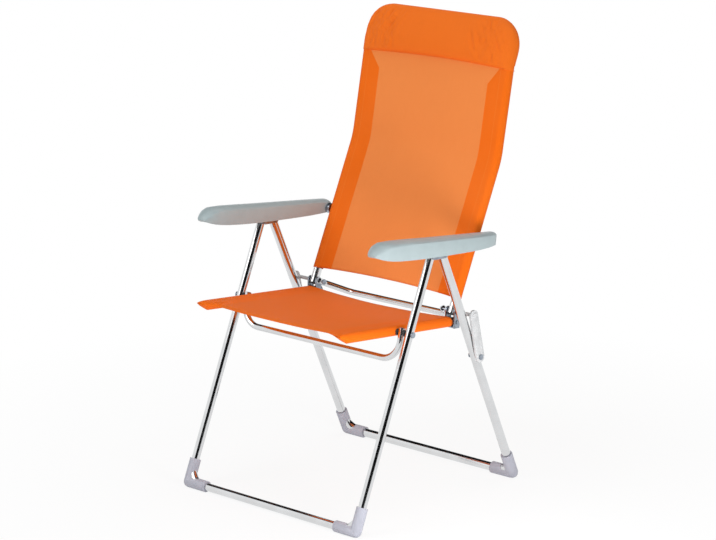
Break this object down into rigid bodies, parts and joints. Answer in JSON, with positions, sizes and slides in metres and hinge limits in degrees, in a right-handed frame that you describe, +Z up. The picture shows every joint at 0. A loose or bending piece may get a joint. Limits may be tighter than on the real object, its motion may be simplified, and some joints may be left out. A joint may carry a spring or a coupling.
{
  "type": "folding armchair",
  "caption": "High-backed folding garden armchair with a bent aluminium tube frame, woven mesh slings, padded head pocket and plastic armrests, in its upright position.",
  "frame": {"origin": "on the floor, under the middle of the chair's box", "axes": "+Z up, the chair faces -Y, +X is the sitter's left"},
  "size_m": [0.6028, 0.6726, 1.1327],
  "materials": {
    "aluminium": "bright, smooth",
    "zinc": "zinc plated, satin",
    "grey_plastic": "fine grain",
    "shoe_plastic": "satin",
    "link_plastic": "satin",
    "dark_plastic": "satin",
    "sling_cloth": "woven mesh",
    "pad_cloth": "woven mesh over padding"
  },
  "bodies": {
    "front_legs": {"front_leg_frame": "aluminium", "front_foot_left": "shoe_plastic", "front_foot_right": "shoe_plastic", "leg_bracket_left": "zinc", "leg_bracket_right": "zinc", "rack_pin_left": "zinc", "rack_pin_right": "zinc", "seat_pivot_bolt_left": "zinc", "seat_pivot_bolt_right": "zinc", "seat_spacer_outer_left": "dark_plastic", "seat_spacer_outer_right": "dark_plastic", "seat_spacer_inner_left": "dark_plastic", "seat_spacer_inner_right": "dark_plastic"},
    "rear_legs": {"rear_leg_frame": "aluminium", "rear_foot_left": "shoe_plastic", "rear_foot_right": "shoe_plastic", "rear_leg_bolt_left": "zinc", "rear_leg_bolt_right": "zinc", "link_bolt_left": "zinc", "link_bolt_right": "zinc"},
    "links": {"side_link_left": "link_plastic", "side_link_right": "link_plastic"},
    "seat": {"seat_rail_left": "aluminium", "seat_rail_right": "aluminium", "rail_front_plug_left": "dark_plastic", "rail_front_plug_right": "dark_plastic", "rail_rear_plug_left": "dark_plastic", "rail_rear_plug_right": "dark_plastic", "hinge_bracket_left": "zinc", "hinge_bracket_right": "zinc", "hinge_rivet_left": "zinc", "hinge_rivet_right": "zinc", "seat_spreader": "aluminium", "seat_sling": "sling_cloth"},
    "back_hinge_bolts": {"rear_crossbar": "aluminium", "back_pivot_bolt_left": "zinc", "back_pivot_bolt_right": "zinc"},
    "back": {"back_frame": "aluminium", "back_sling": "sling_cloth", "head_pad": "pad_cloth", "back_end_cap_left": "dark_plastic", "back_end_cap_right": "dark_plastic"},
    "arm_bushes": {"arm_bush_left": "zinc", "arm_bush_right": "zinc"},
    "arm_bolts": {"arm_bolt_left": "zinc", "arm_bolt_right": "zinc"},
    "armrest_left": {"armrest_left_shell": "grey_plastic", "armrest_left_rack_outer": "zinc", "armrest_left_rack_inner": "zinc"},
    "armrest_right": {"armrest_right_shell": "grey_plastic", "armrest_right_rack_outer": "zinc", "armrest_right_rack_inner": "zinc"}
  },
  "joints": [
    {"name": "seat_fold", "type": "hinge", "parent": "front_legs", "child": "seat", "pos_m": [0, -0.1333, 0.449], "axis": [-1, 0, 0], "range_deg": [0, 100.8]},
    {"name": "rear_leg_fold", "type": "hinge", "parent": "front_legs", "child": "rear_legs", "pos_m": [0, -0.01944, 0.624], "axis": [-1, 0, 0], "range_deg": [0, 48.1]},
    {"name": "link_fold", "type": "hinge", "parent": "rear_legs", "child": "links", "pos_m": [0, 0.1064, 0.34604], "axis": [-1, 0, 0], "range_deg": [0, 159.9]},
    {"name": "back_hinge_fold", "type": "hinge", "parent": "seat", "child": "back_hinge_bolts", "pos_m": [0, 0.08169, 0.454], "axis": [-1, 0, 0], "range_deg": [-100.3, 0]},
    {"name": "recline", "type": "hinge", "parent": "back_hinge_bolts", "child": "back", "pos_m": [0, 0.08169, 0.454], "axis": [-1, 0, 0], "range_deg": [0, 36]},
    {"name": "arm_bush_fold", "type": "hinge", "parent": "back", "child": "arm_bushes", "pos_m": [0, 0.16269, 0.622], "axis": [-1, 0, 0], "range_deg": [0, 106.1]},
    {"name": "arm_recline", "type": "hinge", "parent": "arm_bushes", "child": "arm_bolts", "pos_m": [0, 0.16269, 0.622], "axis": [-1, 0, 0], "range_deg": [-22.1, 0.3]},
    {"name": "armrest_left_lift", "type": "hinge", "parent": "arm_bolts", "child": "armrest_left", "pos_m": [0, 0.16269, 0.622], "axis": [-1, 0, 0], "range_deg": [0, 50]},
    {"name": "armrest_right_lift", "type": "hinge", "parent": "arm_bolts", "child": "armrest_right", "pos_m": [0, 0.16269, 0.622], "axis": [-1, 0, 0], "range_deg": [0, 50]}
  ],
  "couplings": [
    {"joint": "rear_leg_fold", "follows": "seat_fold", "ratio": 0.4742},
    {"joint": "link_fold", "follows": "seat_fold", "ratio": 1.5837},
    {"joint": "back_hinge_fold", "follows": "seat_fold", "ratio": -0.9921},
    {"joint": "arm_bush_fold", "follows": "seat_fold", "ratio": 1.0498},
    {"joint": "arm_recline", "follows": "recline", "ratio": -0.606}
  ]
}
